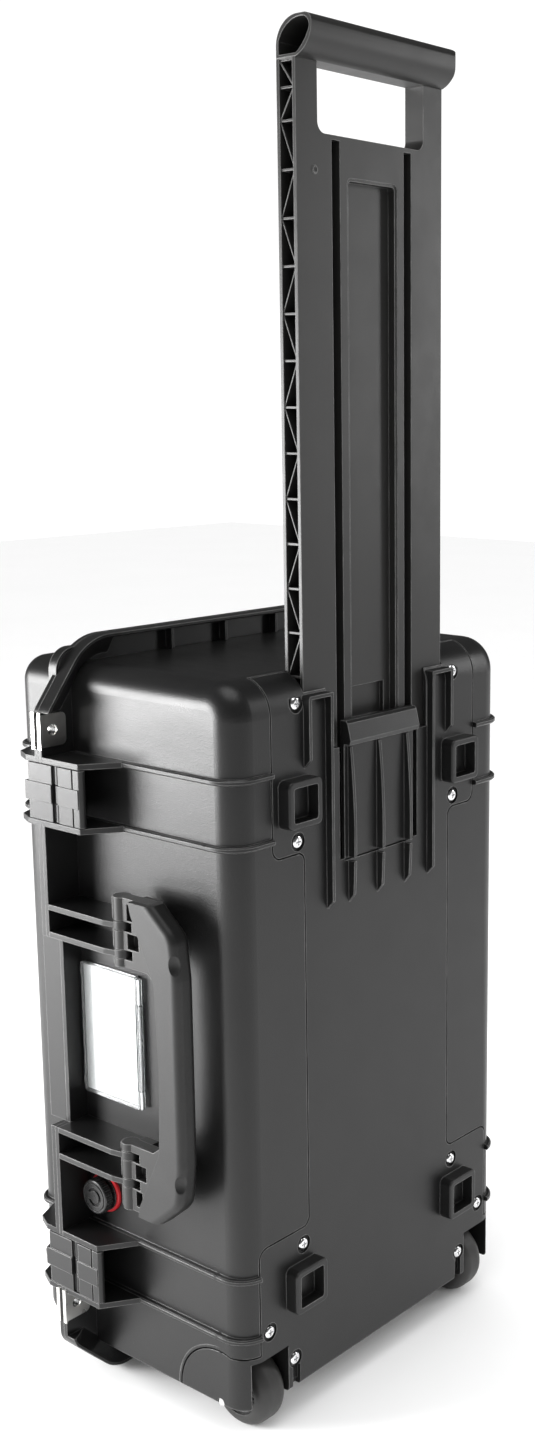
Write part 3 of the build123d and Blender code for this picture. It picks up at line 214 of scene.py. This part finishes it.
def moulded_plastic(name, dark, light, gloss, grain, grain_depth, edge_radius=PLASTIC_EDGE):
    """Black moulded plastic: pebbled grain, faint flow marks, and a painted highlight that makes
    edges paler in patches.
    """
    s = Shader(name)
    rounded = s.straight_at_joins(s.round_edges(edge_radius), s.off_joins())
    mask = s.edge_mask(rounded)
    flow = s.noise(7.0, 4.0, 0.6, (1.0, 1.0, 0.45))
    speck = s.noise(grain * 0.6, 2.0)
    tone = s.math("ADD", s.math("MULTIPLY", flow, 0.65), s.math("MULTIPLY", speck, 0.35))
    body = s.blend(s.spread(tone, 0.35, 0.65, 0.0, 1.0), dark, light)
    # painted highlight: edges made paler in patches and a little glossier, kept out of seams and
    # corners
    highlight_patches = s.math("MULTIPLY", mask, s.spread(s.noise(60.0, 3.0), 0.3, 0.7, 0.35, 1.0))
    edge_highlight = s.math("MULTIPLY", highlight_patches, s.openness(SEAM_REACH))
    s.colour(s.blend(edge_highlight, body, EDGE_HIGHLIGHT_GREY))
    pebble = s.math("ADD", s.cells(grain), s.noise(grain * 1.7, 3.0))
    scuff = s.noise(38.0, 6.0, 0.7, (0.35, 1.0, 1.0))
    rough = s.math("ADD", s.spread(scuff, 0.3, 0.75, gloss - 0.035, gloss + 0.05),
                   s.spread(pebble, 0.4, 1.2, -0.02, 0.03))
    s.roughness(s.math("SUBTRACT", rough, s.math("MULTIPLY", edge_highlight, 0.08)))
    s.normal(s.relief(pebble, grain_depth, rounded))
    s.fixed(IOR=1.43)
    return s.material


def rubber(name, dark, light, gloss, grain):
    """Soft black rubber with a fine matte grain and a little dust."""
    s = Shader(name)
    rounded = s.round_edges(RUBBER_EDGE)
    dust = s.spread(s.noise(22.0, 5.0, 0.65), 0.45, 0.75, 0.0, 1.0)
    s.colour(s.blend(dust, dark, light))
    s.roughness(s.spread(s.noise(grain, 3.0), 0.3, 0.7, gloss - 0.05, gloss + 0.07))
    s.normal(s.relief(s.noise(grain * 2.0, 2.0), 0.00003, rounded))
    s.fixed(IOR=1.48)
    return s.material


def steel(name, tone, gloss):
    """Bare steel: soft sheen, small smudges and a few hairline scratches."""
    s = Shader(name)
    rounded = s.round_edges(STEEL_EDGE)
    smudge = s.noise(90.0, 3.0, 0.55)
    scratch = s.spread(s.noise(700.0, 2.0, 0.5, (1.0, 1.0, 0.05)), 0.62, 0.72, 0.0, 1.0)
    s.colour(s.blend(s.spread(smudge, 0.3, 0.7, 0.0, 1.0), tuple(c * 0.9 for c in tone), tone))
    s.roughness(s.math("ADD", s.spread(smudge, 0.3, 0.7, gloss - 0.03, gloss + 0.05),
                       s.math("MULTIPLY", scratch, 0.06)))
    s.normal(rounded)
    s.fixed(Metallic=1.0)
    return s.material


def clear_plastic(name):
    """Water-clear moulded cover with faint haze and hairline scratches."""
    s = Shader(name)
    haze = s.noise(80.0, 4.0, 0.6)
    scratch = s.noise(500.0, 2.0, 0.5, (1.0, 1.0, 0.04))
    s.roughness(s.spread(haze, 0.35, 0.75, 0.04, 0.14))
    s.colour(s.blend(haze, (0.93, 0.95, 0.96), (0.98, 0.99, 0.99)))
    s.normal(s.relief(scratch, 0.000003))
    s.fixed(Transmission_Weight=0.96, IOR=1.49)
    return s.material


def paper(name):
    """White card with a faint fibre."""
    s = Shader(name)
    fibre = s.noise(420.0, 5.0, 0.7, (1.0, 1.0, 0.3))
    s.colour(s.blend(fibre, (0.86, 0.86, 0.85), (0.95, 0.95, 0.945)))
    s.roughness(s.spread(fibre, 0.3, 0.7, 0.62, 0.75))
    s.normal(s.relief(fibre, 0.00001))
    return s.material


def woven_membrane(name):
    """White vent membrane with a fine weave."""
    s = Shader(name)
    weave = s.noise(2600.0, 2.0, 0.5, (1.0, 1.0, 0.4))
    s.colour(s.blend(weave, (0.68, 0.68, 0.66), (0.84, 0.84, 0.82)))
    s.roughness(s.spread(weave, 0.3, 0.7, 0.75, 0.9))
    return s.material


# name: (darkest colour, lightest colour, roughness, grain per metre, depth of the grain, edge radius)
PLASTICS = {
    "shell_plastic": ((0.0065, 0.0065, 0.0068), (0.0105, 0.0104, 0.0102), 0.31, 1150.0, 0.000045),
    "cover_plastic": ((0.0065, 0.0065, 0.0068), (0.0110, 0.0109, 0.0107), 0.33, 1150.0, 0.000050),
    "handle_plastic": ((0.0110, 0.0108, 0.0105), (0.0170, 0.0167, 0.0162), 0.35, 1500.0, 0.000025),
    "latch_plastic": ((0.0100, 0.0100, 0.0103), (0.0150, 0.0148, 0.0145), 0.32, 1700.0, 0.00002),
    "valve_plastic": ((0.012, 0.012, 0.0125), (0.018, 0.018, 0.018), 0.26, 2200.0, 0.00001, 0.0004),
    "wheel_hub": ((0.0110, 0.0110, 0.0113), (0.0170, 0.0170, 0.0167), 0.46, 1700.0, 0.00003),
}
# name: (clean colour, dusty colour, roughness, grain per metre)
RUBBERS = {
    "handle_rubber": ((0.0070, 0.0069, 0.0068), (0.0130, 0.0128, 0.0125), 0.46, 900.0),
    "seal_rubber": ((0.014, 0.014, 0.014), (0.022, 0.022, 0.022), 0.55, 900.0),
    "wheel_tyre": ((0.022, 0.0215, 0.021), (0.036, 0.035, 0.0335), 0.48, 700.0),
    "valve_red": ((0.52, 0.014, 0.022), (0.64, 0.03, 0.035), 0.40, 900.0),
}
# name: (colour, roughness)
STEELS = {
    "screw_steel": ((0.86, 0.86, 0.87), 0.16),
    "plate_steel": ((0.86, 0.85, 0.82), 0.30),
    "pin_steel": ((0.74, 0.74, 0.74), 0.24),
}
OTHERS = {"membrane": woven_membrane, "clear_plastic": clear_plastic, "card": paper}


def make_materials():
    """One material for each material slot of the record."""
    made = {}
    for maker, table in ((moulded_plastic, PLASTICS), (rubber, RUBBERS), (steel, STEELS)):
        made.update({name: maker(name, *values) for name, values in table.items()})
    made.update({name: maker(name) for name, maker in OTHERS.items()})
    return made


def paint(piece, material):
    """Gives every material slot of a piece this material."""
    piece.data.materials.clear()
    piece.data.materials.append(material)


materials = make_materials()
for part in frame["record"]["subparts"]:
    paint(nodes[part["node"]], materials[part["material_slot"]])


# ---- studio -------------------------------------------------------------------------------
def make_floor():
    """Pale flat floor, with a faint unevenness of tone."""
    s = Shader("studio_floor")
    s.colour(s.blend(s.noise(3.0, 4.0), (0.93, 0.93, 0.93), (0.96, 0.96, 0.96)))
    s.roughness(s.spread(s.noise(40.0, 3.0), 0.3, 0.7, 0.7, 0.85))
    form = bmesh.new()
    bmesh.ops.create_grid(form, x_segments=FLOOR_CELLS, y_segments=FLOOR_CELLS, size=FLOOR_HALF_SIDE)
    mesh = bpy.data.meshes.new("studio_floor")
    form.to_mesh(mesh)
    form.free()
    floor = bpy.data.objects.new("studio_floor", mesh)
    mesh.materials.append(s.material)
    bpy.context.scene.collection.objects.link(floor)


def make_light(name, place, target, size, power):
    lamp = bpy.data.lights.new(name, "AREA")
    lamp.shape = "RECTANGLE"
    lamp.size, lamp.size_y = size
    lamp.energy = power
    made = bpy.data.objects.new(name, lamp)
    made.location = place
    made.rotation_euler = (Vector(target) - Vector(place)).to_track_quat("-Z", "Y").to_euler()
    bpy.context.scene.collection.objects.link(made)


def make_world():
    """White behind the object and over the floor, but a dim room in the case's reflections."""
    world = bpy.data.worlds.new("studio")
    world.use_nodes = True
    tree = world.node_tree
    path = tree.nodes.new("ShaderNodeLightPath")
    strength = tree.nodes.new("ShaderNodeMapRange")
    strength.inputs["To Min"].default_value = BACKDROP
    strength.inputs["To Max"].default_value = ROOM
    tree.links.new(path.outputs["Is Glossy Ray"], strength.inputs["Value"])
    tree.links.new(strength.outputs["Result"], tree.nodes["Background"].inputs["Strength"])
    tree.nodes["Background"].inputs["Color"].default_value = (1.0, 1.0, 1.0, 1.0)
    world.cycles.sampling_method = "NONE"
    bpy.context.scene.world = world


def make_studio():
    make_floor()
    make_world()
    for lamp in LAMPS:
        make_light(*lamp)


def make_camera():
    """The camera at the viewing angle; plain colours, so that the pale studio stays white."""
    bpy.context.scene.view_settings.view_transform = "Standard"
    lens = bpy.data.cameras.new("camera")
    lens.lens = LENS
    lens.shift_x, lens.shift_y = SHIFT
    made = bpy.data.objects.new("camera", lens)
    made.location = EYE
    made.rotation_euler = (TILT, 0.0, TURN)
    bpy.context.scene.collection.objects.link(made)
    bpy.context.scene.camera = made


make_studio()
make_camera()
